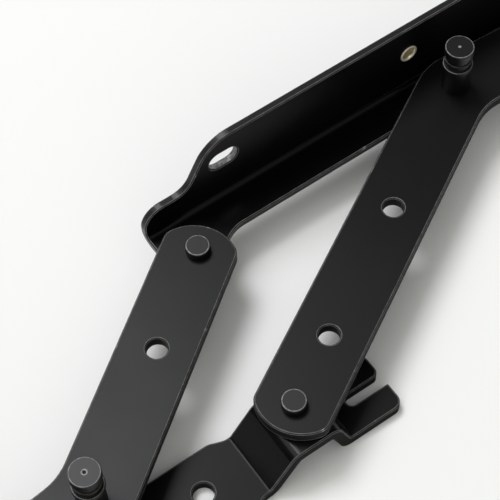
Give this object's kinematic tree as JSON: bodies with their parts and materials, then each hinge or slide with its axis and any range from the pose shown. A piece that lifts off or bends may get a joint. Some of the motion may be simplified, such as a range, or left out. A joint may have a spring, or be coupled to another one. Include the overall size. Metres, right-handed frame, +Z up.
{
  "type": "sofa bed hinge",
  "caption": "Four-bar sofa bed hinge: an angle rail and a joggled base strip joined by elbowed flat links on flat-headed rivets, with grooved spring posts.",
  "frame": {"origin": "underside of the base bracket, halfway between its two pivots", "axes": "+X along the base strip and the angle rail, +Y from the base towards the rail's upright flange, +Z up along the rivets"},
  "size_m": [0.4062, 0.097, 0.0455],
  "materials": {
    "black_paint": "satin black paint",
    "black_steel": "satin black coating on turned steel",
    "black_nylon": "plain black nylon",
    "brass": "bright"
  },
  "bodies": {
    "base": {"base_bracket": "black_paint", "rivet_base_near": "black_steel", "spacer_base_near": "black_nylon", "tail_washer_base_near": "black_steel", "rivet_base_far": "black_steel", "spacer_base_far": "black_nylon", "tail_washer_base_far": "black_steel"},
    "short_arm": {"short_link": "black_paint", "short_stud": "black_steel"},
    "long_arm": {"long_link": "black_paint", "long_stud": "black_steel"},
    "rail": {"angle_rail": "black_paint", "rail_bush": "brass", "rivet_rail_near": "black_steel", "spacer_rail_near": "black_nylon", "tail_washer_rail_near": "black_steel", "rivet_rail_far": "black_steel", "spacer_rail_far": "black_nylon", "tail_washer_rail_far": "black_steel"}
  },
  "joints": [
    {"name": "fold", "type": "hinge", "parent": "base", "child": "short_arm", "pos_m": [-0.08, 0, 0.0191], "axis": [0, 0, 1], "range_deg": [0, 120]},
    {"name": "long_arm_turn", "type": "hinge", "parent": "base", "child": "long_arm", "pos_m": [0.08, 0, 0.0191], "axis": [0, 0, 1], "range_deg": [0, 120]},
    {"name": "rail_turn", "type": "hinge", "parent": "short_arm", "child": "rail", "pos_m": [0.0873, 0.063, 0.0191], "axis": [0, 0, 1], "range_deg": [-120, 0]}
  ],
  "couplings": [
    {"joint": "long_arm_turn", "follows": "fold", "ratio": 1},
    {"joint": "rail_turn", "follows": "fold", "ratio": -1}
  ]
}
